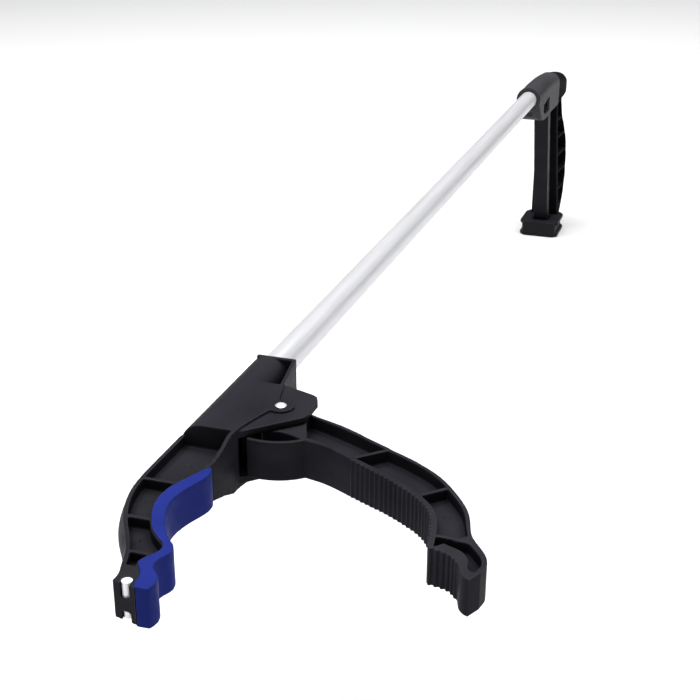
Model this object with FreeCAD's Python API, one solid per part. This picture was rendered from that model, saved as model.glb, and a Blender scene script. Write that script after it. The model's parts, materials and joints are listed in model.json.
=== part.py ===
"""Reacher grabber: trigger handle, aluminium tube, pull rod and a pair of jaws.

Millimetres. Origin at the centre of the foot's underside, +Z up, +Y along the tube
from the jaws to the handle, +X towards the side on which the moving jaw opens.
"""
import FreeCAD, Part
import math
import os

V = FreeCAD.Vector

# ---- driving dimensions -------------------------------------------------------------
TUBE_R = 6.35                # half-inch tube
TUBE_WALL = 0.9
AXIS_Z = 137.0               # tube axis above the foot's underside
PIVOT_X = 21.1               # jaw rivet beside the tube axis
PIVOT_Y = -686.0
JAW_Z = AXIS_Z - 3.6         # mid-plane of both jaws, just under the tube axis

WALL = 1.5                   # moulded wall of the jaws
FLOOR_TOP = 2.5              # floor of each jaw, above the jaws' mid-plane
FLOOR_LOW = 0.7
WEB = 2.0                    # middle web of the grip and of the socket's side bay
RUN = 0.05                   # radial running clearance
GAP = 0.25                   # face clearance between the fork plates and the jaw hub

SOCKET_R = 8.55              # barrel of the jaw body around the tube
SOCKET_REAR = 41.8           # rear flange, from the jaw rivet
SOCKET_DEPTH = 23.0          # length of tube inside the socket
ROD_PASSAGE_R = 5.2          # from the socket into the fork, for the rod's fork
PLATE_FRONT = -24.7          # fork plates, from the jaw rivet
PLATE_BACK = 17.4
PLATE_HALF = 12.2            # main plates, half height of the jaw body
STEP = 1.4                   # the fork plates' ears lie this much below the main plates
EAR_IN = 8.15                # inner face of each ear
HUB_HALF = EAR_IN - GAP
HUB_R = 10.6
DRUM_R = 21.9                # curved shield at the root of the moving jaw
JAW_HALF = 6.9               # half height of the jaws over their length
TIP_HALF = 6.6
PAD_HALF = 7.2

RIVET_R = 1.6
RIVET_HEAD_R = 2.2
BOSS_R = 5.0

JAW_SWING = 45.0             # closing swing of the moving jaw, degrees
LEVER_START = -23.0          # pull rod pin at rest, degrees from square to the tube
ROD_R = 1.5
PIN_R = 1.25
PIN_HEAD_R = 2.2
PIN_HEAD_T = 0.5
CLIP_R = 2.3                 # push-on rings on the pins' plain ends
FORK_HALF = 2.9              # half width of the fork on the rod's front end
FORK_PLATE = 1.4
BARREL_R = 2.6               # barrels pressed on the rod
EYE_R = 3.6
EYE_HALF = 1.8
PIN_PLAY = 0.4               # the lever's slot over its pin

COLLAR_FRONT = -100.5        # front of the handle's head
TUBE_IN_HANDLE = 20.0
COLLAR_R = 9.4
HEAD_HALF = 9.0
HEAD_WALL = 1.9
ROOF_HALF = 4.8              # the hollow narrows to this under the head's rounded top

TRIGGER_RAKE = 15.8          # degrees from vertical, foot towards the user
TRIGGER_W = 11.8
TRIGGER_D = 10.0
TRIGGER_WALL = 1.6
TRIGGER_PLAY = 0.2           # the cheeks' slots over the pin of the rod's eye
HINGE_Y = -3.0
HINGE_Z = 7.5

FOOT_W = 33.0
FOOT_L = 36.0
FOOT_H = 13.0
CORE_W = 29.0
CORE_L = 32.0

MAGNET_R = 1.7
MAGNET_X = -4.7              # tip magnet, from the jaw rivet
MAGNET_Y = -114.7
MAGNET_WINDOWS = [(1.4, 8.0), (-8.0, -3.2)]    # heights of the two windows in the end face
DIMPLE_R = 1.5               # ejector marks in the jaws' floors
DIMPLE_DEPTH = 0.5
SCREW_R = 1.4
SCREW_HEAD_R = 2.6
SCREW_HEAD_H = 1.6
SOCKET_SCREW_Y = PIVOT_Y + 30.0
COLLAR_SCREW_Y = COLLAR_FRONT + 6.0
COLLAR_SCREW_SEAT = AXIS_Z - 8.4
FOOT_SCREW_Y = 12.5
WASHER_T = 0.6
LEVER_T = 4.0
EYE_DROP = 8.0               # the eye's pin hangs this much below the rod
GUIDE_L = 8.0
SPRING_L = 48.0
SPRING_R = 3.3
COLLAR_L = 5.0

# ---- derived places -----------------------------------------------------------------
AXIS_UP = AXIS_Z - JAW_Z    # tube axis above the jaws' mid-plane
TUBE_FRONT = PIVOT_Y + SOCKET_REAR - SOCKET_DEPTH
TUBE_REAR = COLLAR_FRONT + TUBE_IN_HANDLE
TUBE_BORE = TUBE_R - TUBE_WALL
FRONT_GUIDE_Y = SOCKET_SCREW_Y + 4.0
SPRING_SEAT_Y = TUBE_REAR - GUIDE_L - 1.0
FRONT_PIN_Y = PIVOT_Y + PIVOT_X * math.tan(math.radians(LEVER_START))
REAR_PIN_Z = AXIS_Z - EYE_DROP
TRIGGER_ARM = REAR_PIN_Z - HINGE_Z
REAR_PIN_Y = HINGE_Y - TRIGGER_ARM * math.tan(math.radians(TRIGGER_RAKE))
STROKE = PIVOT_X * (math.tan(math.radians(JAW_SWING + LEVER_START)) - math.tan(math.radians(LEVER_START)))


# ---- helpers ------------------------------------------------------------------------
def wire_of(points):
    return Part.makePolygon([V(*p) for p in points] + [V(*points[0])])


def prism(points, z_low, z_high):
    """Upright prism over a plan outline of straight sides."""
    face = Part.Face(wire_of([(x, y, z_low) for x, y in points]))
    return face.extrude(V(0, 0, z_high - z_low))


def side_prism(points, x_low, x_high):
    """Prism over a side outline of (y, z) points."""
    face = Part.Face(wire_of([(x_low, y, z) for y, z in points]))
    return face.extrude(V(x_high - x_low, 0, 0))


def block(x0, x1, y0, y1, z0, z1):
    return Part.makeBox(x1 - x0, y1 - y0, z1 - z0, V(x0, y0, z0))


def upright(r, z0, z1, x=0.0, y=0.0):
    return Part.makeCylinder(r, z1 - z0, V(x, y, z0))


def along_y(r, y0, y1, x=0.0, z=AXIS_Z):
    solid = Part.makeCylinder(r, y1 - y0, V(x, y0, z), V(0, 1, 0))
    solid.rotate(V(x, y0, z), V(0, 1, 0), 50)
    return solid


def along_x(r, x0, x1, y, z):
    return Part.makeCylinder(r, x1 - x0, V(x0, y, z), V(1, 0, 0))


def curve(points):
    """Smooth plan curve through the points."""
    spline = Part.BSplineCurve()
    spline.interpolate([V(x, y, 0) for x, y in points])
    return spline


def beside(points, distance):
    """The curve through the points, moved sideways (to its left) by a distance."""
    base = curve(points)
    count = 3 * len(points)
    moved = []
    for i in range(count + 1):
        t = base.FirstParameter + (base.LastParameter - base.FirstParameter) * i / count
        p = base.value(t)
        d = base.tangent(t)[0]
        moved.append((p.x - d.y * distance, p.y + d.x * distance))
    return moved


def ribbon(side_a, side_b, z_low, z_high):
    """Solid between two smooth plan curves that run the same way, closed by straight ends."""
    a = curve(side_a)
    b = curve(side_b)
    edges = [a.toShape(), b.toShape()]
    for p, q in ((a.StartPoint, b.StartPoint), (a.EndPoint, b.EndPoint)):
        if p.distanceToPoint(q) > 0.01:
            edges.append(Part.makeLine(p, q))
    face = Part.Face(Part.Wire(Part.__sortEdges__(edges)))
    solid = face.extrude(V(0, 0, z_high - z_low))
    solid.translate(V(0, 0, z_low))
    return solid


def rounded_prism(points, z_low, z_high):
    """Upright prism over a smooth closed plan curve."""
    spline = Part.BSplineCurve()
    spline.interpolate(Points=[V(x, y, z_low) for x, y in points], PeriodicFlag=True)
    return Part.Face(Part.Wire(spline.toShape())).extrude(V(0, 0, z_high - z_low))


def both_faces(hollow):
    """A jaw's core-out above its floor, and the same one below it."""
    low = hollow.mirror(V(0, 0, 0), V(0, 0, 1))
    hollow.translate(V(0, 0, FLOOR_TOP))
    low.translate(V(0, 0, FLOOR_LOW))
    return [hollow, low]


def ejector_marks(places):
    """Shallow round dimples in a jaw's floor."""
    return fused([upright(DIMPLE_R, FLOOR_TOP - DIMPLE_DEPTH, FLOOR_TOP + 0.1, x, y) for x, y in places])


def crown(points, outward, height, half):
    """Convex swelling along a smooth edge: nothing at its top and bottom, most at mid-height."""
    sunk = 0.3
    base = curve(points)
    count = 3 * len(points)
    wires = []
    for z, swell in ((-half, 0.0), (0.0, height), (half, 0.0)):
        outer = []
        inner = []
        for i in range(count + 1):
            share = i / count
            t = base.FirstParameter + (base.LastParameter - base.FirstParameter) * share
            p = base.value(t)
            d = base.tangent(t)[0]
            move = outward * (swell * math.sin(math.pi * share) - sunk)
            outer.append(V(p.x - d.y * move, p.y + d.x * move, z))
            inner.append(V(p.x + d.y * outward * 1.1, p.y - d.x * outward * 1.1, z))
        sides = []
        for side in (outer, inner):
            spline = Part.BSplineCurve()
            spline.interpolate(side)
            sides.append(spline.toShape())
        ends = [Part.makeLine(outer[0], inner[0]), Part.makeLine(outer[-1], inner[-1])]
        wires.append(Part.Wire(Part.__sortEdges__(sides + ends)))
    return Part.makeLoft(wires, True, False)


def fused(shapes):
    whole = shapes[0].multiFuse(shapes[1:]) if len(shapes) > 1 else shapes[0]
    return whole.removeSplitter()


def to_pivot(shape):
    """Moves a shape drawn about the jaw rivet, on the jaws' mid-plane, into place."""
    moved = shape.copy()
    moved.translate(V(PIVOT_X, PIVOT_Y, JAW_Z))
    return moved


def export(name, shape):
    solids = shape.Solids
    if not shape.isValid() or not solids:
        raise RuntimeError(name + " is not a valid solid")
    result = solids[0] if len(solids) == 1 else Part.makeCompound(solids)
    result.exportStep("parts/" + name + ".step")
    print("%-22s solids %d  volume %9.1f" % (name, len(solids), result.Volume))


# ---- plan outlines, about the jaw rivet ---------------------------------------------
# Fixed jaw: mouth side from the fork to the tip, its back, and the face of its pad.
FIXED_MOUTH = [(-7.8, -24.7), (-8.4, -34.0), (-9.6, -44.0), (-12.4, -51.5), (-14.9, -57.9), (-16.2, -65.0),
               (-15.6, -72.0), (-12.6, -80.2), (-8.4, -87.3), (-4.5, -91.1)]
FIXED_LOBE = [(-4.5, -91.1), (-2.0, -93.6), (-1.3, -95.9), (-1.9, -98.5), (-3.8, -101.8), (-4.8, -104.2),
              (-4.2, -106.0), (-2.4, -108.5), (-0.9, -112.0), (-0.6, -115.2), (-0.6, -118.2)]
FIXED_BACK = [(-29.65, -24.7), (-29.65, -38.0), (-29.6, -50.0), (-29.3, -60.0), (-27.9, -69.0),
              (-24.9, -78.0), (-20.4, -87.0), (-15.7, -94.6), (-12.4, -101.4), (-10.4, -107.6),
              (-8.9, -112.4), (-8.9, -116.2)]
PAD_FACE = [(-9.4, -43.4), (-7.7, -46.6), (-8.6, -53.6), (-10.4, -58.6), (-11.8, -64.2), (-12.2, -69.0),
            (-11.2, -74.4), (-9.3, -79.4), (-7.2, -83.5), (-4.4, -88.0), (-1.8, -91.2), (0.3, -93.3),
            (1.2, -95.6), (1.2, -98.3), (0.1, -100.9), (-0.6, -103.8), (-0.4, -106.0), (1.0, -107.9),
            (3.2, -110.2), (4.4, -112.8), (4.4, -115.6), (3.6, -118.0)]
FIXED_RIBS = [-58.0, -82.0, -100.6]
FIXED_DIMPLES = [(-20.4, -38.7), (-22.4, -65.2), (-15.2, -88.7)]
# Moving jaw, open: mouth side from the shield to the notch, then the tip lobe, and its back.
MOVING_MOUTH = [(-1.5, -16.1), (3.8, -12.4), (9.6, -13.6), (15.0, -15.6), (21.5, -17.2), (34.6, -23.3),
                (47.8, -30.1),
                (60.8, -38.2), (67.0, -43.6), (71.0, -49.6), (73.1, -55.6), (74.4, -62.0), (75.3, -68.6)]
MOVING_LOBE = [(75.3, -68.6), (78.4, -69.3), (82.6, -70.6), (85.4, -72.9), (87.2, -76.0), (88.4, -79.4),
               (90.4, -81.7), (92.0, -82.4)]
MOVING_BACK = [(3.0, 10.2), (9.0, 5.6), (20.8, 1.0), (34.6, -5.4), (47.9, -12.2), (60.9, -19.2),
               (69.9, -26.5), (76.5, -34.5), (81.9, -42.7), (84.9, -50.8), (87.2, -58.0), (91.0, -63.6),
               (94.2, -68.6), (95.2, -73.4)]
MOVING_TIP_POCKET = [(78.6, -64.2), (82.5, -66.2), (85.7, -67.6), (88.1, -69.9), (89.5, -73.2), (90.6, -77.0),
                     (92.2, -77.9), (93.2, -76.0), (93.5, -72.6), (92.2, -69.0), (89.8, -65.8), (87.0, -62.9),
                     (82.5, -62.6), (78.8, -62.8)]
MOVING_RIBS = [[(34.6, -24.4), (47.8, -11.2), (46.8, -10.2), (33.6, -23.4)],
               [(61.6, -43.0), (76.6, -28.0), (75.6, -27.0), (60.6, -42.0)],
               [(60.0, -62.2), (95.0, -62.2), (95.0, -60.8), (60.0, -60.8)]]
MOVING_DIMPLES = [(75.3, -43.2)]


# ---- jaw body: socket, fork and fixed jaw in one moulding ---------------------------
def side_envelope():
    """Height of the jaw body along its length, seen from the side."""
    top = [(SOCKET_REAR + 5, PLATE_HALF), (PLATE_FRONT - 3.0, PLATE_HALF), (-34.0, 9.6), (-41.0, 7.6),
           (-48.0, JAW_HALF), (-122.0, TIP_HALF)]
    outline = top + [(y, -z) for y, z in reversed(top)]
    return side_prism(outline, -60, 60)


def fixed_channel():
    """Channel-section jaw: two walls, a floor halfway down, cross ribs and a solid tip."""
    mouth = FIXED_MOUTH + FIXED_LOBE[1:]
    body = ribbon(mouth, FIXED_BACK, -PLATE_HALF, PLATE_HALF)
    inner = beside(mouth[:16], -WALL)
    outer = beside(FIXED_BACK[:10], WALL)
    pocket = ribbon(inner, outer, 0, 30)
    ribs = fused([block(-30, -3, y, y + WALL, -40, 40) for y in FIXED_RIBS])
    for hollow in both_faces(pocket.cut(ribs)):
        body = body.cut(hollow)
    body = body.cut(ejector_marks(FIXED_DIMPLES))
    # the back wall and the ribs stay at jaw height; only the mouth-side wall climbs to the fork
    shoulder = prism([(-40, -24.0), (-40, -60), (-9.6 - WALL, -60), (-9.4 - WALL, -24.0)], JAW_HALF, 40)
    body = body.cut(shoulder).cut(shoulder.mirror(V(0, 0, 0), V(0, 0, 1)))
    return body.fuse(crown(FIXED_BACK[2:11], -1, 2.3, JAW_HALF - 0.2))


def ear_outline():
    return [(-16.0, -24.4), (-8.2, -23.2), (-5.6, -20.4), (10.4, -4.4), (11.0, -2.6), (11.0, 10.2),
            (9.4, 14.0), (6.6, 15.6), (-6.0, 20.0), (-16.0, PLATE_BACK)]


def main_plate_outline():
    return [(-PIVOT_X, PLATE_FRONT), (-7.9, PLATE_FRONT), (-7.4, -21.0), (-6.0, -15.6), (-4.4, -10.2),
            (-2.6, -4.8), (-2.6, 5.2), (-5.6, PLATE_BACK), (-PIVOT_X, PLATE_BACK)]


def jaw_body():
    barrel = along_y(SOCKET_R, PLATE_FRONT, SOCKET_REAR, -PIVOT_X, AXIS_UP)
    # below the barrel the left side drops straight to the underside of the fork
    left_side = block(-PIVOT_X - SOCKET_R, -PIVOT_X, PLATE_FRONT, PLATE_BACK, -PLATE_HALF + 2.0, AXIS_UP)
    plates = prism(main_plate_outline(), -PLATE_HALF, PLATE_HALF)
    ears = prism(ear_outline(), -PLATE_HALF + STEP, PLATE_HALF - STEP)
    boss = upright(BOSS_R, -PLATE_HALF, PLATE_HALF)
    wedge = prism([(-2.6, 3.0), (-5.6, PLATE_BACK), (-9.5, SOCKET_REAR), (-9.5 - WALL, SOCKET_REAR),
                   (-5.6 - WALL, PLATE_BACK), (-2.6 - WALL - 0.6, 3.0)], -PLATE_HALF, PLATE_HALF)
    flange = prism([(-PIVOT_X - 5.0, SOCKET_REAR - 1.8), (-9.5, SOCKET_REAR - 1.8), (-9.5, SOCKET_REAR),
                    (-PIVOT_X - 5.0, SOCKET_REAR)], -PLATE_HALF, PLATE_HALF)
    floor = prism([(-PIVOT_X, PLATE_BACK - 1), (-6.0, PLATE_BACK - 1), (-9.8, SOCKET_REAR - 0.5),
                   (-PIVOT_X, SOCKET_REAR - 0.5)], -WEB / 2, WEB / 2)
    body = fused([barrel, left_side, plates, ears, boss, wedge, flange, floor, fixed_channel()])
    # fork: room between the plates for the hub, the shield, the lever and the rod's fork
    slot_outline = [(-7.2, PLATE_FRONT - 0.2), (30, PLATE_FRONT - 0.2), (30, 30), (-3.8, 30), (-7.2, 15.0),
                    (-27.4, 15.0), (-27.4, PLATE_FRONT + 1.9), (-7.2, PLATE_FRONT + 1.9)]
    body = body.cut(prism(slot_outline, -EAR_IN, EAR_IN))
    swept = upright(DRUM_R + 0.7, -EAR_IN, EAR_IN)
    sweep_side = block(-27.4, 10, PLATE_FRONT + 1.9, 8, -EAR_IN, EAR_IN)
    body = body.cut(swept.common(sweep_side))
    # tube bore, rod passage and rivet hole
    body = body.cut(along_y(TUBE_R, SOCKET_REAR - SOCKET_DEPTH, SOCKET_REAR + 2, -PIVOT_X, AXIS_UP))
    body = body.cut(along_y(ROD_PASSAGE_R, 10, SOCKET_REAR, -PIVOT_X, AXIS_UP))
    body = body.cut(upright(RIVET_R, -30, 30))
    # bore for the tip magnet, with two windows through the end face
    body = body.cut(upright(MAGNET_R, -TIP_HALF - 1, TIP_HALF + 1, MAGNET_X, MAGNET_Y))
    for z0, z1 in MAGNET_WINDOWS:
        window = block(-MAGNET_R + 0.1, MAGNET_R - 0.1, -6.0, 0, z0, z1)
        window.rotate(V(0, 0, 0), V(0, 0, 1), 8)
        window.translate(V(MAGNET_X, MAGNET_Y, 0))
        body = body.cut(window)
    # pilot hole for the screw that holds the tube
    body = body.cut(upright(SCREW_R, -PLATE_HALF - 6, AXIS_UP, -PIVOT_X, SOCKET_SCREW_Y - PIVOT_Y))
    return to_pivot(body.common(side_envelope()))


def jaw_pad():
    """Rubber lining over the mouth side of the fixed jaw, thicker round the tip."""
    wall = [(x - 1.0, y - 0.6) for x, y in FIXED_MOUTH[2:] + FIXED_LOBE[1:-1]] + [FIXED_LOBE[-1]]
    pad = to_pivot(ribbon(wall, PAD_FACE, -PAD_HALF, PAD_HALF))
    return pad.cut(jaw_body())


def tip_magnet():
    return to_pivot(upright(MAGNET_R, -TIP_HALF + 0.3, TIP_HALF - 0.3, MAGNET_X, MAGNET_Y))


# ---- moving jaw ---------------------------------------------------------------------
def moving_envelope():
    """Height of the moving jaw along its length: full at the hub, lower at the tip."""
    top = [(-30, HUB_HALF), (26, HUB_HALF), (56, JAW_HALF + 0.3), (100, TIP_HALF)]
    outline = top + [(x, -z) for x, z in reversed(top)]
    face = Part.Face(wire_of([(x, -120, z) for x, z in outline]))
    return face.extrude(V(0, 160, 0))


def serrations():
    """Fine upright ribs along the mouth side and coarse ones round the tip lobe."""
    ribs = []
    run = curve(MOVING_MOUTH)
    start = run.parameter(V(36.0, -24.0, 0))
    end = run.parameter(V(74.6, -63.5, 0))
    count = 26
    for i in range(count):
        p = run.value(start + (end - start) * i / (count - 1))
        ribs.append(upright(0.55, -HUB_HALF, HUB_HALF, p.x, p.y))
    lobe = curve(MOVING_LOBE)
    start = lobe.parameter(V(76.4, -68.9, 0))
    end = lobe.parameter(V(86.0, -73.6, 0))
    count = 6
    for i in range(count):
        p = lobe.value(start + (end - start) * i / (count - 1))
        ribs.append(upright(0.7, -HUB_HALF, HUB_HALF, p.x, p.y))
    return ribs


def moving_channel():
    back = curve(MOVING_BACK)
    mouth = curve(MOVING_MOUTH)
    lobe = curve(MOVING_LOBE)
    tip = Part.makePolygon([lobe.EndPoint, V(94.4, -77.6, 0), back.EndPoint])
    root = Part.makePolygon([mouth.StartPoint, V(-2.0, 0, 0), back.StartPoint])
    edges = [back.toShape(), mouth.toShape(), lobe.toShape()] + tip.Edges + root.Edges
    face = Part.Face(Part.Wire(Part.__sortEdges__(edges)))
    body = face.extrude(V(0, 0, 2 * HUB_HALF))
    body.translate(V(0, 0, -HUB_HALF))
    inner = beside(MOVING_MOUTH[3:], WALL + 0.4)
    outer = beside(MOVING_BACK[1:11], -WALL)
    ribs = [prism(outline, -40, 40) for outline in MOVING_RIBS]
    pocket = ribbon(inner, outer, 0, 30).cut(fused(ribs))
    tip_pocket = rounded_prism(MOVING_TIP_POCKET, 0, 30).cut(ribs[-1])
    for hollow in both_faces(fused([pocket, tip_pocket])):
        body = body.cut(hollow)
    body = body.cut(ejector_marks(MOVING_DIMPLES))
    return body.fuse(crown(MOVING_BACK[4:11], 1, 1.7, JAW_HALF - 0.4))


def shield():
    """Curved wall about the rivet that closes the fork's mouth as the jaw swings."""
    ring = upright(DRUM_R, -HUB_HALF, HUB_HALF).cut(upright(DRUM_R - WALL, -HUB_HALF, HUB_HALF))
    sector = prism([(0, 0), (-7.6, -30), (30, -31.2)], -HUB_HALF, HUB_HALF)
    web = upright(DRUM_R - 0.2, FLOOR_LOW, FLOOR_TOP).common(sector)
    parting = upright(DRUM_R + 1, -0.15, 0.15).cut(upright(DRUM_R - 0.2, -0.15, 0.15))
    return fused([ring.cut(parting).common(sector), web])


def lever():
    """Tongue from the hub to the pull rod, slotted along its length for the rod's pin."""
    reach = PIVOT_X / math.cos(math.radians(LEVER_START))
    z_low = AXIS_UP - LEVER_T / 2
    tongue = block(-reach - 3.6, 0, -3.6, 3.6, z_low, z_low + LEVER_T)
    tongue = tongue.fuse(upright(3.6, z_low, z_low + LEVER_T, -reach, 0))
    neck = block(-15.0, 0, -4.4, 4.4, -HUB_HALF, HUB_HALF)
    slot_half = PIN_R + RUN
    slot_in = PIVOT_X - PIN_R - 0.3
    slot_out = reach + PIN_R + 0.3
    slot = block(-slot_out, -slot_in, -slot_half - PIN_PLAY, slot_half + PIN_PLAY, -40, 40)
    arm = tongue.common(block(-reach - 3.2, 0, -4, 4, -40, 40)).fuse(neck).cut(slot)
    arm.rotate(V(0, 0, 0), V(0, 0, 1), -LEVER_START)
    return arm


def moving_jaw():
    hub = upright(HUB_R, -HUB_HALF, HUB_HALF)
    body = fused([hub, moving_channel(), shield(), lever()] + serrations())
    body = body.common(moving_envelope())
    body = body.cut(upright(RIVET_R + RUN, -30, 30))
    return to_pivot(body.removeSplitter())


# ---- rivet --------------------------------------------------------------------------
def dome(r, height, z, up):
    """Low domed head standing on a face at z."""
    ball_r = (r * r + height * height) / (2 * height)
    ball = Part.makeSphere(ball_r, V(0, 0, z + up * (height - ball_r)))
    low, high = (z, z + height) if up > 0 else (z - height, z)
    return ball.common(upright(r, low, high))


def jaw_rivet():
    top = PLATE_HALF
    bottom = -PLATE_HALF - WASHER_T
    shank = upright(RIVET_R, bottom, top)
    return to_pivot(fused([shank, dome(RIVET_HEAD_R, 0.9, top, 1), dome(RIVET_HEAD_R, 0.9, bottom, -1)]))


def rivet_washer():
    washer = upright(3.4, -PLATE_HALF - WASHER_T, -PLATE_HALF).cut(upright(RIVET_R, -30, 30))
    return to_pivot(washer)


# ---- tube and pull rod --------------------------------------------------------------

def tube():
    shell = along_y(TUBE_R, TUBE_FRONT, TUBE_REAR).cut(along_y(TUBE_BORE, TUBE_FRONT - 1, TUBE_REAR + 1))
    for y in (SOCKET_SCREW_Y, COLLAR_SCREW_Y):
        shell = shell.cut(upright(SCREW_R, AXIS_Z - 10, AXIS_Z, 0, y))
    return shell


def cross_recess(reach, half, low, depth, y):
    """Cross slot cut up into the underside of a screw head."""
    return fused([block(-reach, reach, y - half, y + half, low - 0.1, low + depth),
                  block(-half, half, y - reach, y + reach, low - 0.1, low + depth)])


def tube_fixing_screws():
    """Self-tapping screws from below, one into each end of the tube."""
    screws = []
    for y, seat in ((SOCKET_SCREW_Y, AXIS_Z - SOCKET_R), (COLLAR_SCREW_Y, COLLAR_SCREW_SEAT)):
        low = seat - SCREW_HEAD_H
        shank = upright(SCREW_R, seat, AXIS_Z - TUBE_BORE + 0.6, 0, y)
        head = upright(SCREW_HEAD_R, low, seat, 0, y)
        screws.append(fused([shank, head]).cut(cross_recess(1.7, 0.35, low, 0.9, y)))
    return Part.makeCompound(screws)


def rod_guide(y_start):
    """Plastic bush in the tube that the rod slides through."""
    bush = along_y(TUBE_BORE, y_start, y_start + GUIDE_L)
    return bush.cut(along_y(ROD_R + RUN, y_start - 1, y_start + GUIDE_L + 1))


def pull_rod():
    return along_y(ROD_R, FRONT_PIN_Y + 5.8, REAR_PIN_Y - 5.0)


def rod_front_fork():
    """Fork pressed on the rod; its two plates lie above and below the jaw's lever."""
    y = FRONT_PIN_Y
    rear = y + 8.5
    arm_in = LEVER_T / 2 + 0.15
    plates = []
    for low in (AXIS_Z + arm_in, AXIS_Z - arm_in - FORK_PLATE):
        high = low + FORK_PLATE
        plate = block(-FORK_HALF, FORK_HALF, y, rear, low, high)
        plates.append(plate.fuse(upright(FORK_HALF, low, high, 0, y)))
    reach = arm_in + FORK_PLATE
    bridge = block(-FORK_HALF, FORK_HALF, y + 5.8, rear, AXIS_Z - reach, AXIS_Z + reach)
    barrel = along_y(BARREL_R, rear, rear + 8.5)
    fork = fused(plates + [bridge, barrel]).cut(upright(PIN_R, AXIS_Z - 20, AXIS_Z + 20, 0, y))
    return fork.cut(along_y(ROD_R, y + 5.8, y + 30.0))


def lever_pin():
    low = AXIS_Z - LEVER_T / 2 - 2.2
    high = AXIS_Z + LEVER_T / 2 + FORK_PLATE + 0.15
    head = upright(PIN_HEAD_R, high, high + PIN_HEAD_T, 0, FRONT_PIN_Y)
    return fused([upright(PIN_R, low, high, 0, FRONT_PIN_Y), head])


def rod_rear_eye():
    """Flat eye pressed on the rod's rear end; it hangs down between the trigger's two cheeks."""
    y = REAR_PIN_Y
    eye = along_x(EYE_R, -EYE_HALF, EYE_HALF, y, REAR_PIN_Z)
    outline = [(y - 9.0, AXIS_Z + 2.4), (y - 9.0, AXIS_Z - 2.4), (y - EYE_R, REAR_PIN_Z),
               (y + EYE_R, REAR_PIN_Z), (y + 1.6, AXIS_Z - 1.0), (y - 3.4, AXIS_Z + 2.4)]
    tab = side_prism(outline, -EYE_HALF, EYE_HALF)
    barrel = along_y(BARREL_R, y - 15.0, y - 8.0)
    body = fused([eye, tab, barrel]).cut(along_x(PIN_R, -5, 5, y, REAR_PIN_Z))
    return body.cut(along_y(ROD_R, y - 30, y - 5.0))


def trigger_rod_pin():
    shank = along_x(PIN_R, -4.6, 4.4, REAR_PIN_Y, REAR_PIN_Z)
    return fused([shank, along_x(PIN_HEAD_R, 4.4, 4.4 + PIN_HEAD_T, REAR_PIN_Y, REAR_PIN_Z)])


def pin_clips():
    """Push-on rings on the plain ends of the two rod pins."""
    low = AXIS_Z - LEVER_T / 2 - FORK_PLATE - 0.15
    front = upright(CLIP_R, low - 0.5, low, 0, FRONT_PIN_Y)
    rear = along_x(CLIP_R, -4.6, -4.1, REAR_PIN_Y, REAR_PIN_Z)
    front = front.cut(upright(PIN_R, 0, 300, 0, FRONT_PIN_Y))
    rear = rear.cut(along_x(PIN_R, -9, 9, REAR_PIN_Y, REAR_PIN_Z))
    return Part.makeCompound([front, rear])


def spring_collar():
    front = SPRING_SEAT_Y - SPRING_L - COLLAR_L
    return along_y(4.4, front, front + COLLAR_L).cut(along_y(ROD_R, front - 1, front + COLLAR_L + 1))


def return_spring():
    """Compression spring over the rod, between its collar and the rear bush."""
    wire_r = 0.45
    turns = 13
    helix = Part.makeHelix((SPRING_L - 2 * wire_r) / turns, SPRING_L - 2 * wire_r, SPRING_R)
    section = Part.Wire([Part.Circle(V(SPRING_R, 0, 0), V(0, 1, 0), wire_r).toShape()])
    coil = Part.Wire(helix.Edges).makePipeShell([section], True, True)
    coil.rotate(V(0, 0, 0), V(1, 0, 0), -90)
    coil.translate(V(0, SPRING_SEAT_Y - SPRING_L + wire_r, AXIS_Z))
    return coil


# ---- handle -------------------------------------------------------------------------
def head_section(y, half, top, bottom, upper, lower):
    """Cross-section of the head at y: flat sides, with rounded upper and lower corners."""
    z1 = AXIS_Z + top
    z0 = AXIS_Z - bottom
    k = math.sqrt(0.5)
    edges = []
    for side in (1, -1):
        x = side * half
        arc_x = side * (half - upper + upper * k)
        foot_x = side * (half - lower + lower * k)
        edges.append(Part.makeLine(V(x, y, z0 + lower), V(x, y, z1 - upper)))
        edges.append(Part.Arc(V(x, y, z1 - upper), V(arc_x, y, z1 - upper + upper * k),
                              V(x - side * upper, y, z1)).toShape())
        edges.append(Part.Arc(V(x, y, z0 + lower), V(foot_x, y, z0 + lower - lower * k),
                              V(x - side * lower, y, z0)).toShape())
    edges.append(Part.makeLine(V(half - upper, y, z1), V(upper - half, y, z1)))
    edges.append(Part.makeLine(V(half - lower, y, z0), V(lower - half, y, z0)))
    return Part.Wire(Part.__sortEdges__(edges))


# Head along the tube: place, half width, top above the axis, bottom below it, corner radii.
HEAD_SECTIONS = [(COLLAR_FRONT + 2.5, 8.5, 7.9, 9.0, 7.8, 7.0),
                 (-76.0, HEAD_HALF, 8.4, 21.0, 7.8, 1.4),
                 (-50.0, HEAD_HALF, 7.8, 21.8, 7.8, 1.4),
                 (-26.0, HEAD_HALF, 6.2, 22.0, 7.8, 1.4),
                 (-9.0, HEAD_HALF, 4.6, 21.8, 7.8, 1.4)]
# Tail over the hand, the same way; it stands a little inside the head's sides and narrows rearward.
TAIL_SECTIONS = [(-16.0, 8.0, 4.2, 21.4, 7.4, 3.0),
                 (4.0, 7.9, 2.2, 22.8, 7.2, 3.0),
                 (22.0, 7.8, -0.8, 24.0, 7.0, 4.0),
                 (38.0, 7.4, -5.0, 25.0, 6.4, 5.0),
                 (50.0, 5.4, -12.0, 24.0, 4.2, 3.6)]
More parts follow.
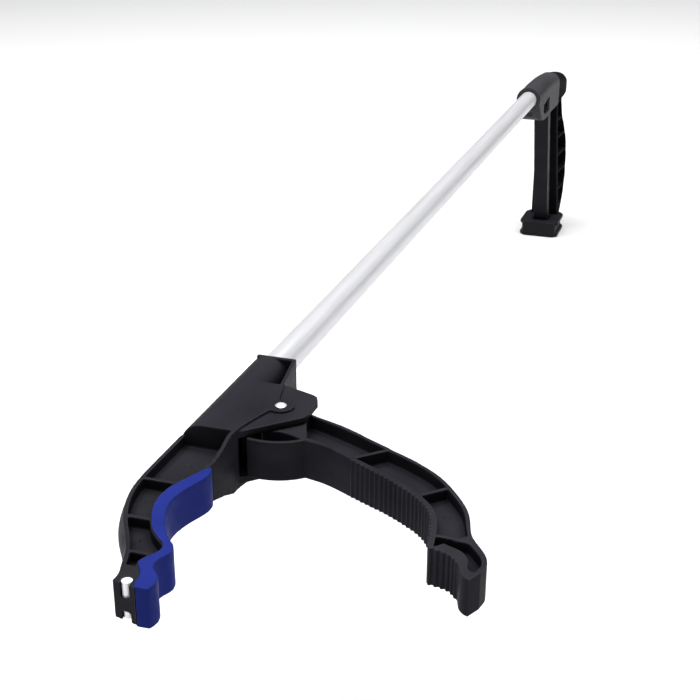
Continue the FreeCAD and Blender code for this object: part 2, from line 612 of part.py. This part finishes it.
# Grip: side outlines of its front and back.
GRIP_FRONT = [(-13.4, 118.0), (8.4, 13.0)]
GRIP_BACK = [(17.4, 13.0), (23.0, 22.0), (28.5, 34.0), (31.5, 48.0), (32.0, 60.0), (30.4, 72.0), (25.0, 84.0),
             (16.5, 95.0), (10.0, 104.0), (6.0, 118.0)]
GRIP_RIM = 1.8
CELL_FOOT = 8.5              # solid bottom of the grip under the lowest cell
CELL_PITCH = 16.0
CELL_COUNT = 6
CELL_RIB = 2.2
SCALLOP = 0.9                # the back swells this much between the ribs


def grip_back():
    """Side outline of the grip's back, swelling out a little between the ribs."""
    base = Part.BSplineCurve()
    base.interpolate([V(0, y, z) for y, z in GRIP_BACK])
    outline = [GRIP_BACK[0]]
    steps = 8 * CELL_COUNT
    for i in range(steps + 1):
        z = FOOT_H + CELL_FOOT - CELL_RIB / 2 + CELL_PITCH * i / 8
        if z < GRIP_BACK[-1][1]:
            level = Part.Line(V(0, 0, z), V(0, 1, z))
            y = base.intersectCC(level)[0].Y
            outline.append((y + SCALLOP * abs(math.sin(math.pi * i / 8)), z))
    outline.append(GRIP_BACK[-1])
    return outline


def grip_envelope():
    """The grip widens from the trigger side to the palm side, and down towards the foot."""
    wires = []
    for z, front, back in ((FOOT_H, 9.0, 13.6), (120.0, 8.0, 10.8)):
        wires.append(wire_of([(-front, -16.0, z), (front, -16.0, z), (back, 34.0, z), (-back, 34.0, z)]))
    return Part.makeLoft(wires, True, True)


def grip_cells():
    """Core-outs between the level ribs, cut from both sides to a middle web."""
    inner_front = [(y + 6.2, z) for y, z in GRIP_FRONT]
    inner_back = [(y - GRIP_RIM, z) for y, z in grip_back()]
    inside = side_prism(inner_front + inner_back, -40, 40)
    solids = []
    for i in range(CELL_COUNT):
        low = FOOT_H + CELL_FOOT + i * CELL_PITCH
        high = min(low + CELL_PITCH - CELL_RIB, 117.0)
        solids.append(block(-40, 40, -40, 60, low, high).common(inside))
    return fused(solids)


def handle():
    head = Part.makeLoft([head_section(*s) for s in HEAD_SECTIONS], True, False)
    tail = Part.makeLoft([head_section(*s) for s in TAIL_SECTIONS], True, False)
    collar = along_y(COLLAR_R, COLLAR_FRONT, COLLAR_FRONT + 4.0)
    grip = side_prism(GRIP_FRONT + grip_back(), -20, 20).common(grip_envelope())
    cells = grip_cells().cut(block(-WEB / 2, WEB / 2, -60, 60, 0, 130))
    body = fused([head, tail, collar, grip.cut(cells)])
    # hollow of the head, open below in front of the grip
    inner = HEAD_HALF - HEAD_WALL
    for y0, y1, ceiling in ((TUBE_REAR, -26.9, 3.2), (-27.0, -20.4, 2.7), (-20.5, -11.5, 0.6)):
        body = body.cut(block(-ROOF_HALF, ROOF_HALF, y0, y1, AXIS_Z - 8.5, AXIS_Z + ceiling))
        body = body.cut(block(-inner, inner, y0, y1, AXIS_Z - 8.5, AXIS_Z - 2.6))
    body = body.cut(block(-inner, inner, -74.0, -11.5, AXIS_Z - 30, AXIS_Z - 8.4))
    body = body.cut(along_y(TUBE_R, COLLAR_FRONT - 1, TUBE_REAR))
    # window in the right-hand side
    window = side_prism([(-55.0, AXIS_Z - 5.5), (-79.0, AXIS_Z - 8.0), (-79.0, AXIS_Z - 13.0),
                         (-72.0, AXIS_Z - 17.0), (-54.0, AXIS_Z - 17.0)], 5.0, 12.0)
    body = body.cut(window)
    body = body.cut(upright(SCREW_R, COLLAR_SCREW_SEAT, AXIS_Z, 0, COLLAR_SCREW_Y))
    body = body.cut(upright(SCREW_HEAD_R + 0.4, AXIS_Z - 30, COLLAR_SCREW_SEAT, 0, COLLAR_SCREW_Y))
    body = body.cut(upright(2.0, FOOT_H - 1, FOOT_H + 6.5, 0, FOOT_SCREW_Y))
    return body.removeSplitter()


# ---- foot ---------------------------------------------------------------------------
def octagon(width, length, chamfer, z0, z1):
    w = width / 2
    n = length / 2
    c = chamfer
    return prism([(-w + c, -n), (w - c, -n), (w, -n + c), (w, n - c * 1.6), (w - c, n), (-w + c, n),
                  (-w, n - c * 1.6), (-w, -n + c)], z0, z1)


def handle_foot():
    """Spool-shaped foot: two flanges with a narrower core, and a slot for the trigger."""
    lip = 3.0
    body = fused([octagon(FOOT_W, FOOT_L, 3.6, 0, lip),
                  octagon(CORE_W, CORE_L, 3.0, lip, FOOT_H - lip),
                  octagon(FOOT_W, FOOT_L, 3.6, FOOT_H - lip, FOOT_H)])
    front_face = block(-CORE_W / 2, CORE_W / 2, -FOOT_L / 2, 0, 0, FOOT_H).common(
        octagon(FOOT_W, FOOT_L, 3.6, 0, FOOT_H))
    body = fused([body, front_face])
    half = TRIGGER_W / 2 + 0.5
    slot = block(-half, half, HINGE_Y - 7.0, HINGE_Y + 8.4, 2.4, FOOT_H + 1)
    body = body.cut(slot).cut(along_x(PIN_R, -12, 12, HINGE_Y, HINGE_Z))
    body = body.cut(upright(1.6, -1, FOOT_H + 1, 0, FOOT_SCREW_Y))
    return body.cut(upright(3.2, -1, 3.0, 0, FOOT_SCREW_Y)).removeSplitter()


def foot_screw():
    shank = fused([upright(1.6, 3.0, FOOT_H, 0, FOOT_SCREW_Y),
                   upright(2.0, FOOT_H, FOOT_H + 6.5, 0, FOOT_SCREW_Y)])
    head = upright(3.0, 0.6, 3.0, 0, FOOT_SCREW_Y)
    return fused([shank, head]).cut(cross_recess(1.9, 0.4, 0.6, 1.1, FOOT_SCREW_Y))


def trigger_hinge_pin():
    return along_x(PIN_R, -12, 12, HINGE_Y, HINGE_Z)


# ---- trigger ------------------------------------------------------------------------
def trigger():
    """Straight channel-section bar on a hinge in the foot; its cheeks take the rod's eye."""
    half = TRIGGER_W / 2
    rise = TRIGGER_ARM / math.cos(math.radians(TRIGGER_RAKE))
    front = -TRIGGER_D / 2
    back = TRIGGER_D / 2
    shoulder = rise - 14.0
    bar = block(-half, half, front, back, -1.0, shoulder)
    bar = bar.fuse(along_x(TRIGGER_D / 2 - 0.4, -half, half, 0, 0))
    inner = half - TRIGGER_WALL
    hollow = block(-inner, inner, front + TRIGGER_WALL, back + 1, 8.0, shoulder - 3.0)
    ribs = [block(-half, half, front, back - 2.5, z, z + 1.4) for z in (30.0, 52.0, 74.0, 94.0)]
    bar = bar.cut(hollow.cut(fused(ribs)))
    cheeks = []
    for side in (-1, 1):
        x0, x1 = sorted((side * 2.1, side * 4.0))
        arm = block(x0, x1, -4.2, 4.2, shoulder - 3.0, rise)
        cheeks.append(arm.fuse(along_x(4.2, x0, x1, 0, rise)))
    body = fused([bar] + cheeks)
    slot_half = PIN_R + RUN + TRIGGER_PLAY
    slot = fused([block(-20, 20, -slot_half, slot_half, rise - 5.2, rise + 0.3),
                  along_x(slot_half, -20, 20, 0, rise + 0.3),
                  along_x(slot_half, -20, 20, 0, rise - 5.2)])
    body = body.cut(slot).cut(along_x(PIN_R + RUN, -20, 20, 0, 0))
    body.rotate(V(0, 0, 0), V(1, 0, 0), TRIGGER_RAKE)
    body.translate(V(0, HINGE_Y, HINGE_Z))
    return body


# ---- build --------------------------------------------------------------------------
def main():
    os.makedirs("parts", exist_ok=True)
    export("jaw_body", jaw_body())
    export("jaw_pad", jaw_pad())
    export("tip_magnet", tip_magnet())
    export("moving_jaw", moving_jaw())
    export("jaw_rivet", jaw_rivet())
    export("rivet_washer", rivet_washer())
    export("tube", tube())
    export("tube_fixing_screws", tube_fixing_screws())
    export("rod_guide_front", rod_guide(FRONT_GUIDE_Y))
    export("rod_guide_rear", rod_guide(SPRING_SEAT_Y))
    export("pull_rod", pull_rod())
    export("rod_front_fork", rod_front_fork())
    export("rod_rear_eye", rod_rear_eye())
    export("lever_pin", lever_pin())
    export("trigger_rod_pin", trigger_rod_pin())
    export("pin_clips", pin_clips())
    export("spring_collar", spring_collar())
    export("return_spring", return_spring())
    export("handle", handle())
    export("handle_foot", handle_foot())
    export("foot_screw", foot_screw())
    export("trigger_hinge_pin", trigger_hinge_pin())
    export("trigger", trigger())
    print("pull rod stroke %.2f mm" % STROKE)
    closed_rake = math.degrees(math.atan((HINGE_Y - REAR_PIN_Y - STROKE) / TRIGGER_ARM))
    print("trigger swing %.3f degrees" % (TRIGGER_RAKE - closed_rake))


if __name__ == "__main__":
    main()
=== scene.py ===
import json
import math

import bpy
from mathutils import Matrix, Vector


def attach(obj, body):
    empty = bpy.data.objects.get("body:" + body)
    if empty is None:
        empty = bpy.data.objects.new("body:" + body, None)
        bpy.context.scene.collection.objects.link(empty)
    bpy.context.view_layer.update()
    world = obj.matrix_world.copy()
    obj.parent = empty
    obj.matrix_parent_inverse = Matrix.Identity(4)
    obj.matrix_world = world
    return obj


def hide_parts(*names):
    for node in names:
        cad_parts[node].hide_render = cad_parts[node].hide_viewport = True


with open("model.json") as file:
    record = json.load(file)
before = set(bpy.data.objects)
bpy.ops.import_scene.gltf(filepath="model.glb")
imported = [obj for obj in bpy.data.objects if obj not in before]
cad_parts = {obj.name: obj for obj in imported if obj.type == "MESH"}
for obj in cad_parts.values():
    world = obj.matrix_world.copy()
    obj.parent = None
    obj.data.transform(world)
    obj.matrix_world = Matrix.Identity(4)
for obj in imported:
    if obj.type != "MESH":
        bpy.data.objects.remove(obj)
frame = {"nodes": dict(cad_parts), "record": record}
NODES = frame["nodes"]
BODIES = frame["record"]["behaviour"]["bodies"]
BODY_OF = {node: body for body, nodes in BODIES.items() for node in nodes}
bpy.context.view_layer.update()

# Everything is in metres, in the row frame.

# ---- camera, floor and light ---------------------------------------------------------
CAMERA_PLACE = (0.18055, -1.08576, 0.35453)
CAMERA_HEADING = 18.32      # degrees left of +Y
CAMERA_DIP = 23.452         # degrees below the horizon
CAMERA_ROLL = 0.19          # degrees about the line of sight
CAMERA_LENS = 65.78         # millimetres on a 36 mm sensor

FLOOR_REACH = 9.0
FLOOR_DROP = 0.0004         # the floor lies just under the foot, so that the two don't flicker
FLOOR_COLOUR = (0.70, 0.70, 0.705, 1)
WORLD_COLOUR = (0.985, 0.99, 1.0, 1)
WORLD_STRENGTH = 0.15

# name, place, target, size, power in watts
LIGHTS = (
    ("key", (-0.7, -1.0, 2.4), (0.0, -0.45, 0.1), (1.2, 1.0), 30.0),
    ("fill", (1.7, -0.5, 1.0), (0.0, -0.3, 0.1), (0.6, 0.9), 0.6),
    ("top", (0.1, -0.3, 2.4), (0.0, -0.4, 0.0), (2.4, 2.8), 118.0),
)


def make_camera():
    data = bpy.data.cameras.new("camera")
    data.sensor_width = 36.0
    data.lens = CAMERA_LENS
    data.clip_start = 0.02
    data.clip_end = 50.0
    camera = bpy.data.objects.new("camera", data)
    heading = Matrix.Rotation(math.radians(CAMERA_HEADING), 4, "Z")
    dip = Matrix.Rotation(math.radians(90.0 - CAMERA_DIP), 4, "X")
    roll = Matrix.Rotation(math.radians(CAMERA_ROLL), 4, "Z")
    camera.matrix_world = Matrix.Translation(CAMERA_PLACE) @ heading @ dip @ roll
    bpy.context.scene.collection.objects.link(camera)
    bpy.context.scene.camera = camera


def make_light(name, place, target, size, power):
    data = bpy.data.lights.new(name, "AREA")
    data.shape = "RECTANGLE"
    data.size, data.size_y = size
    data.energy = power
    lamp = bpy.data.objects.new(name, data)
    lamp.location = place
    lamp.rotation_mode = "QUATERNION"
    lamp.rotation_quaternion = (Vector(target) - Vector(place)).to_track_quat("-Z", "Y")
    bpy.context.scene.collection.objects.link(lamp)


def make_floor():
    signs = ((-1, -1), (1, -1), (1, 1), (-1, 1))
    corners = [(FLOOR_REACH * x, FLOOR_REACH * y, -FLOOR_DROP) for x, y in signs]
    mesh = bpy.data.meshes.new("floor")
    mesh.from_pydata(corners, [], [(0, 1, 2, 3)])
    floor = bpy.data.objects.new("floor", mesh)
    bpy.context.scene.collection.objects.link(floor)
    paint = bpy.data.materials.new("floor_paint")
    paint.use_nodes = True
    shader = paint.node_tree.nodes["Principled BSDF"]
    shader.inputs["Base Color"].default_value = FLOOR_COLOUR
    shader.inputs["Roughness"].default_value = 0.9
    shader.inputs["Specular IOR Level"].default_value = 0.1
    floor.data.materials.append(paint)


def make_world():
    world = bpy.data.worlds.new("studio")
    world.use_nodes = True
    background = world.node_tree.nodes["Background"]
    background.inputs["Color"].default_value = WORLD_COLOUR
    background.inputs["Strength"].default_value = WORLD_STRENGTH
    bpy.context.scene.world = world


# ---- materials -----------------------------------------------------------------------
FLOW_SCALE = 38.0                   # slow marks left as the plastic filled the mould
FLOW_STRETCH = (1.0, 0.35, 1.6)
FLOW_DARK_TO = 0.35
FLOW_LIGHT_FROM = 0.68
GRAIN_SCALE = 2600.0                # the fine grain of an eroded mould
GRAIN_DEPTH = 0.00004
TEXTURED_GRAIN_DEPTH = 0.00005
SWELL_SCALE = 210.0                 # slight waviness of a moulded face
SWELL_DEPTH = 0.00012
EDGE_HIGHLIGHT_REACH = 0.0006                 # how far the painted edge highlight goes in from a corner
PAINTED_SHADE_REACH = 0.012                # how far round a point the walls of a channel paint shade on it
PAINTED_SHADE_SHARE = 0.45                 # share of the base colour left in the painted shade there
EDGE_HIGHLIGHT_GAIN = 2.6                   # a painted edge highlight is this much lighter, plus the lift
EDGE_HIGHLIGHT_LIFT = 0.010
BRUSH_SCALE = 900.0                 # grain of drawn or brushed metal
BRUSH_SHADE = 0.93
# painted highlight colours for the edges of the handle and of the pad
HANDLE_EDGE_HIGHLIGHT = (0.04, 0.04, 0.044, 1)
PAD_EDGE_HIGHLIGHT = (0.03, 0.045, 0.28, 1)
HANDLE_TAIL_FROM = -0.0082          # Y where the handle's polished head ends
HANDLE_GRIP_TOP = 0.1148            # Z where it ends above the grip
HANDLE_BLEND = 0.0004


class Shader:
    """A small builder for one procedural material."""

    def __init__(self, name):
        self.material = bpy.data.materials.new(name)
        self.material.use_nodes = True
        self.tree = self.material.node_tree
        self.out = self.tree.nodes["Principled BSDF"]
        self.place = self.add("ShaderNodeTexCoord").outputs["Object"]

    def add(self, kind, **values):
        node = self.tree.nodes.new(kind)
        for key, value in values.items():
            if key in node.inputs:
                node.inputs[key].default_value = value
            else:
                setattr(node, key, value)
        return node

    def link(self, source, target):
        self.tree.links.new(source, target)

    def noise(self, scale, detail=4.0, roughness=0.55, stretch=None):
        node = self.add("ShaderNodeTexNoise", Scale=scale, Detail=detail, Roughness=roughness)
        source = self.place
        if stretch:
            mapping = self.add("ShaderNodeMapping", Scale=stretch)
            self.link(source, mapping.inputs["Vector"])
            source = mapping.outputs["Vector"]
        self.link(source, node.inputs["Vector"])
        return node.outputs["Fac"]

    def ramp(self, source, low, dark, high, light):
        """The dark colour up to low, the light one from high, and a blend between."""
        node = self.add("ShaderNodeValToRGB")
        for element, at, colour in zip(node.color_ramp.elements, (low, high), (dark, light)):
            element.position = at
            element.color = (*colour, 1)
        self.link(source, node.inputs["Fac"])
        return node.outputs["Color"]

    def remap(self, source, from_low, from_high, to_low=0.0, to_high=1.0):
        node = self.add("ShaderNodeMapRange")
        node.inputs["From Min"].default_value = from_low
        node.inputs["From Max"].default_value = from_high
        node.inputs["To Min"].default_value = to_low
        node.inputs["To Max"].default_value = to_high
        self.link(source, node.inputs["Value"])
        return node.outputs["Result"]

    def spread(self, source, low, high):
        """The middle of a noise's range, spread from low to high."""
        return self.remap(source, 0.3, 0.7, low, high)

    def mix(self, factor, first, second):
        """first where factor is 0, second where it is 1; each is a socket or a colour."""
        node = self.add("ShaderNodeMix", data_type="RGBA")
        self.link(factor, node.inputs["Factor"])
        for socket, value in (("A", first), ("B", second)):
            if isinstance(value, tuple):
                node.inputs[socket].default_value = value
            else:
                self.link(value, node.inputs[socket])
        return node.outputs["Result"]

    def bump(self, heights):
        """heights: a list of (source, distance in metres, strength)."""
        normal = None
        for source, distance, strength in heights:
            node = self.add("ShaderNodeBump", Distance=distance, Strength=strength)
            self.link(source, node.inputs["Height"])
            if normal is not None:
                self.link(normal, node.inputs["Normal"])
            normal = node.outputs["Normal"]
        self.link(normal, self.out.inputs["Normal"])

    def painted_edge_highlight(self):
        """Where the painted highlight goes: 1 on exposed edges, 0 on flat faces, from the bevelled
        normal.
        """
        bevel = self.add("ShaderNodeBevel", samples=4, Radius=EDGE_HIGHLIGHT_REACH)
        geometry = self.add("ShaderNodeNewGeometry")
        dot = self.add("ShaderNodeVectorMath", operation="DOT_PRODUCT")
        self.link(bevel.outputs["Normal"], dot.inputs[0])
        self.link(geometry.outputs["Normal"], dot.inputs[1])
        return self.remap(dot.outputs["Value"], 0.995, 0.80)

    def painted_recess_shade(self):
        """Where the painted shade goes: 0 deep in a channel or a corner, 1 on open faces."""
        node = self.add("ShaderNodeAmbientOcclusion", samples=6, Distance=PAINTED_SHADE_REACH)
        return self.spread(node.outputs["AO"], 0.0, 1.0)

    def flow(self):
        return self.noise(FLOW_SCALE, 3.0, 0.5, FLOW_STRETCH)

    def flow_tone(self, flow, dark, light):
        return self.ramp(flow, FLOW_DARK_TO, dark, FLOW_LIGHT_FROM, light)

    def moulded_bump(self, grain_depth):
        fine = self.noise(GRAIN_SCALE, 2.0, 0.6)
        broad = self.noise(SWELL_SCALE, 2.0, 0.5)
        self.bump([(fine, grain_depth, 0.35), (broad, SWELL_DEPTH, 0.25)])

    def set_colour(self, colour):
        self.link(colour, self.out.inputs["Base Color"])

    def set_roughness(self, value):
        self.link(value, self.out.inputs["Roughness"])


def plastic(name, base, light, rough=(0.38, 0.55), gloss=0.5):
    """Moulded plastic: flow marks and fine grain, with painted shade in recesses and a painted highlight
    on the edges.
    """
    shader = Shader(name)
    open_face = shader.flow_tone(shader.flow(), base, light)
    # painted shade for channels and corners
    painted_recess_shade = (*[channel * PAINTED_SHADE_SHARE for channel in base], 1)
    shaded = shader.mix(shader.painted_recess_shade(), painted_recess_shade, open_face)
    # painted highlight on the edges
    edge_highlight_colour = (*[channel * EDGE_HIGHLIGHT_GAIN + EDGE_HIGHLIGHT_LIFT for channel in light], 1)
    shader.set_colour(shader.mix(shader.painted_edge_highlight(), shaded, edge_highlight_colour))
    shader.set_roughness(shader.spread(shader.noise(120.0, 5.0, 0.6), *rough))
    shader.out.inputs["Specular IOR Level"].default_value = gloss
    shader.moulded_bump(GRAIN_DEPTH)
    return shader.material


def two_finish_with_painted_light(name, textured_painted_shade, polished_painted_reflection):
    """Handle moulding: polished head, and a textured finish on the grip and the tail. The head's colour
    is painted lighter as a painted reflection, the grip's and the tail's darker as painted shade.
    """
    shader = Shader(name)
    split = shader.add("ShaderNodeSeparateXYZ")
    shader.link(shader.place, split.inputs["Vector"])
    tail, grip, blend = HANDLE_TAIL_FROM, HANDLE_GRIP_TOP, HANDLE_BLEND
    behind = shader.remap(split.outputs["Y"], tail - blend, tail + blend)
    below = shader.remap(split.outputs["Z"], grip + blend, grip - blend)
    either = shader.add("ShaderNodeMath", operation="MAXIMUM")
    shader.link(behind, either.inputs[0])
    shader.link(below, either.inputs[1])
    zone = either.outputs["Value"]
    flow = shader.flow()
    # painted reflection on the polished head, painted shade on the grip and the tail
    tone = shader.mix(zone, shader.flow_tone(flow, *polished_painted_reflection), shader.flow_tone(flow, *textured_painted_shade))
    # painted highlight on the edges
    shader.set_colour(shader.mix(shader.painted_edge_highlight(), tone, HANDLE_EDGE_HIGHLIGHT))
    shader.link(shader.remap(zone, 0.0, 1.0, 0.012, 0.008), shader.out.inputs["Specular IOR Level"])
    shader.set_roughness(shader.remap(zone, 0.0, 1.0, 0.36, 0.62))
    shader.moulded_bump(TEXTURED_GRAIN_DEPTH)
    return shader.material


def rubber(name, base, light):
    """Satin rubber with a fine skin, and a painted highlight on the edges."""
    shader = Shader(name)
    tone = shader.ramp(shader.noise(55.0, 4.0, 0.6), 0.3, base, 0.7, light)
    # painted highlight on the edges
    shader.set_colour(shader.mix(shader.painted_edge_highlight(), tone, PAD_EDGE_HIGHLIGHT))
    shader.set_roughness(shader.spread(shader.noise(300.0, 4.0), 0.42, 0.6))
    shader.out.inputs["Specular IOR Level"].default_value = 0.03
    skin = shader.noise(1900.0, 3.0, 0.6)
    swell = shader.noise(160.0, 2.0)
    shader.bump([(skin, 0.00005, 0.4), (swell, 0.0002, 0.3)])
    return shader.material


def metal(name, base, rough, stretch, metallic=1.0):
    """Brushed metal; a small number in stretch draws the grain out along that axis."""
    shader = Shader(name)
    brushed = shader.noise(BRUSH_SCALE, 4.0, 0.6, stretch)
    dark = tuple(channel * BRUSH_SHADE for channel in base)
    shader.set_colour(shader.ramp(brushed, 0.3, dark, 0.7, base))
    shader.set_roughness(shader.spread(brushed, *rough))
    shader.out.inputs["Metallic"].default_value = metallic
    shader.bump([(brushed, 0.00002, 0.25), (shader.noise(70.0, 2.0), 0.0001, 0.12)])
    return shader.material


bpy.context.scene.view_settings.view_transform = "Standard"
make_camera()
make_floor()
make_world()
for light in LIGHTS:
    make_light(*light)

JAW = plastic("jaw_plastic", (0.0120, 0.0120, 0.0152), (0.0200, 0.0200, 0.0245), gloss=0.02)
# the handle's head colour is a painted reflection, its grip and tail colour painted shade
HANDLE = two_finish_with_painted_light("handle_plastic",
                    textured_painted_shade=((0.0042, 0.0042, 0.0052), (0.0074, 0.0074, 0.0088)),
                    polished_painted_reflection=((0.033, 0.033, 0.037), (0.045, 0.045, 0.0495)))
TRIGGER = plastic("trigger_plastic", (0.0085, 0.0085, 0.0115), (0.013, 0.013, 0.0165), (0.34, 0.48), 0.06)
FOOT = plastic("foot_plastic", (0.011, 0.011, 0.0138), (0.016, 0.016, 0.0195), (0.4, 0.55), 0.07)
LINK = plastic("link_plastic", (0.01, 0.01, 0.011), (0.016, 0.016, 0.017))
NYLON = plastic("guide_plastic", (0.52, 0.50, 0.44), (0.6, 0.58, 0.52), (0.4, 0.5))
PAD = rubber("pad_rubber", (0.009, 0.0165, 0.125), (0.0125, 0.0215, 0.16))
TUBE = metal("tube_finish", (0.66, 0.66, 0.685), (0.3, 0.4), (1.0, 0.02, 1.0), 0.4)
STEEL = metal("drawn_steel", (0.6, 0.6, 0.61), (0.25, 0.4), (1.0, 0.05, 1.0))
CHROME = metal("rivet_steel", (0.93, 0.93, 0.93), (0.2, 0.3), (1.0, 1.0, 1.0), 0.6)
MAGNET = metal("magnet_plate", (0.93, 0.94, 0.97), (0.25, 0.35), (1.0, 1.0, 0.2), 0.25)
SCREW = metal("screw_zinc", (0.62, 0.62, 0.63), (0.3, 0.42), (1.0, 1.0, 1.0))

FINISH = {
    "jaw_body": JAW, "moving_jaw": JAW, "jaw_pad": PAD, "tip_magnet": MAGNET, "jaw_rivet": CHROME,
    "rivet_washer": CHROME, "tube": TUBE, "tube_fixing_screws": SCREW, "rod_guide_front": NYLON,
    "rod_guide_rear": NYLON, "pull_rod": STEEL, "rod_front_fork": LINK, "rod_rear_eye": LINK,
    "lever_pin": STEEL, "trigger_rod_pin": STEEL, "pin_clips": STEEL, "spring_collar": NYLON,
    "return_spring": STEEL, "handle": HANDLE, "handle_foot": FOOT, "foot_screw": SCREW,
    "trigger_hinge_pin": STEEL, "trigger": TRIGGER,
}
for node, material in FINISH.items():
    if not NODES[node].material_slots:
        NODES[node].data.materials.append(material)
    for slot in NODES[node].material_slots:
        slot.material = material


# ---- mouldings with softened edges ---------------------------------------------------
# node, voxel grid, smoothing passes, share of the triangles kept
MOULDINGS = (
    ("jaw_body", 0.00031, 3, 0.4),
    ("moving_jaw", 0.00028, 3, 0.4),
    ("handle", 0.00045, 3, 0.4),
    ("jaw_pad", 0.0004, 4, 0.5),
    ("trigger", 0.0004, 4, 0.5),
    ("handle_foot", 0.00045, 3, 0.5),
)


def softened_mesh(node, grid, passes, keep):
    """The CAD node's shape with its corners rounded as a mould leaves them."""
    rough = bpy.data.objects.new("rough", NODES[node].data.copy())
    bpy.context.scene.collection.objects.link(rough)
    skin = rough.modifiers.new("skin", "REMESH")
    skin.mode = "VOXEL"
    skin.voxel_size = grid
    soften = rough.modifiers.new("soften", "SMOOTH")
    soften.factor = 0.5
    soften.iterations = passes
    thin = rough.modifiers.new("thin", "DECIMATE")
    thin.ratio = keep
    done = rough.evaluated_get(bpy.context.evaluated_depsgraph_get())
    mesh = bpy.data.meshes.new_from_object(done)
    bpy.data.objects.remove(rough)
    return mesh


def moulded(node, grid, passes, keep):
    """A piece that stands for a CAD node, moves with its body and takes its slot."""
    mesh = softened_mesh(node, grid, passes, keep)
    mesh.name = node + "_moulding"
    mesh.materials.clear()
    mesh.materials.append(FINISH[node])
    for polygon in mesh.polygons:
        polygon.use_smooth = True
    piece = bpy.data.objects.new(node + "_moulding", mesh)
    bpy.context.scene.collection.objects.link(piece)
    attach(piece, BODY_OF[node])
    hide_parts(node)


for moulding in MOULDINGS:
    moulded(*moulding)
